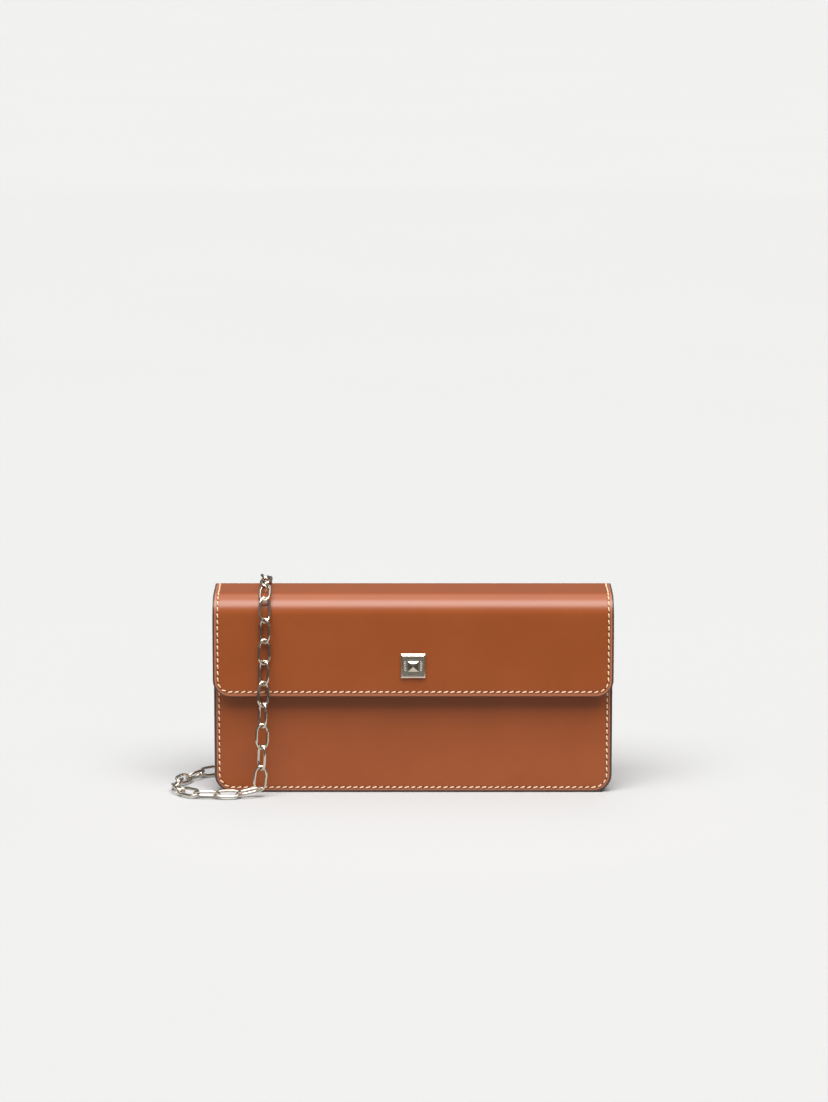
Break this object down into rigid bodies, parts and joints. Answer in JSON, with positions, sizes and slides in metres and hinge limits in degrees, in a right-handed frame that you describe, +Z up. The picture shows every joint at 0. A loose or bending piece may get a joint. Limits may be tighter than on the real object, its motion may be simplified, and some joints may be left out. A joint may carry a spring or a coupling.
{
  "type": "chain wallet",
  "caption": "Long leather flap wallet with a stud closure, card panels, a zipped coin pocket and a link carrying chain draped over its top.",
  "frame": {"origin": "middle of the flat base that the wallet stands on", "axes": "+X to the right along the wallet's length as seen from the front, +Y to the back, +Z up"},
  "size_m": [0.2231, 0.0948, 0.1089],
  "materials": {
    "leather": "satin",
    "lining": "matte",
    "polished_nickel": "polished",
    "brushed_nickel": "satin",
    "zip_metal": "satin",
    "zip_tape": "matte",
    "tie": "matte"
  },
  "bodies": {
    "wallet_body": {"front_panel": "leather", "front_lining": "lining", "gusset": "leather", "gusset_lining": "lining", "back_panel": "leather", "back_lining": "lining", "note_pocket_wall": "lining", "card_panel_1": "lining", "card_panel_2": "lining", "card_panel_3": "lining", "card_panel_4": "lining", "coin_pocket_bag": "lining", "coin_pocket_seam_left": "lining", "coin_pocket_seam_right": "lining", "zip_stop_left": "zip_metal", "zip_stop_right": "zip_metal", "zip_tape_front": "zip_tape", "zip_tape_back": "zip_tape", "zip_teeth": "zip_metal", "snap_socket": "brushed_nickel", "snap_washer": "brushed_nickel", "left_ring_tab": "leather", "right_ring_tab": "leather", "chain_floor_run": "polished_nickel", "chain_hank": "polished_nickel", "hank_tie": "tie", "chain_rise": "polished_nickel"},
    "flap_top": {"flap_top_panel": "leather", "flap_top_lining": "lining", "chain_over_top": "polished_nickel"},
    "flap_front": {"flap_front_panel": "leather", "flap_front_lining": "lining", "stud_plate": "brushed_nickel", "stud_pyramid": "polished_nickel", "snap_boss": "brushed_nickel", "chain_down_flap": "polished_nickel"},
    "chain_bend": {"chain_bend": "polished_nickel"},
    "chain_tail": {"chain_tail": "polished_nickel"},
    "left_ring": {"left_ring": "polished_nickel", "left_connector": "polished_nickel"},
    "right_ring": {"right_ring": "polished_nickel", "right_connector": "polished_nickel"},
    "zip_slider": {"zip_slider": "zip_metal"},
    "zip_pull": {"zip_pull": "zip_metal"}
  },
  "joints": [
    {"name": "flap_lift", "type": "hinge", "parent": "wallet_body", "child": "flap_top", "pos_m": [0, 0.01495, 0.09995], "axis": [-1, 0, 0], "range_deg": [0, 135]},
    {"name": "flap_unfold", "type": "hinge", "parent": "flap_top", "child": "flap_front", "pos_m": [0, -0.02107, 0.09907], "axis": [-1, 0, 0], "range_deg": [0, 45]},
    {"name": "chain_bend_swing", "type": "hinge", "parent": "flap_front", "child": "chain_bend", "pos_m": [-0.0751, -0.02275, 0.0465], "axis": [-1, 0, 0], "range_deg": [-45, 0]},
    {"name": "chain_tail_swing", "type": "hinge", "parent": "chain_bend", "child": "chain_tail", "pos_m": [-0.0751, -0.02275, 0.0465], "axis": [-1, 0, 0], "range_deg": [-135, 0]},
    {"name": "left_ring_swing", "type": "hinge", "parent": "wallet_body", "child": "left_ring", "pos_m": [-0.075, 0.0207, 0.074], "axis": [-1, 0, 0], "range_deg": [0, 175]},
    {"name": "right_ring_swing", "type": "hinge", "parent": "wallet_body", "child": "right_ring", "pos_m": [0.075, 0.0207, 0.074], "axis": [1, 0, 0], "range_deg": [0, 175]},
    {"name": "zip_slide", "type": "slide", "parent": "wallet_body", "child": "zip_slider", "axis": [1, 0, 0], "range_m": [0, 0.14]},
    {"name": "zip_pull_swing", "type": "hinge", "parent": "zip_slider", "child": "zip_pull", "pos_m": [-0.07, 0, 0.0814], "axis": [0, -1, 0], "range_deg": [0, 175]}
  ],
  "couplings": [
    {"joint": "chain_bend_swing", "follows": "flap_unfold", "ratio": -1},
    {"joint": "chain_tail_swing", "follows": "flap_lift", "ratio": -1}
  ]
}
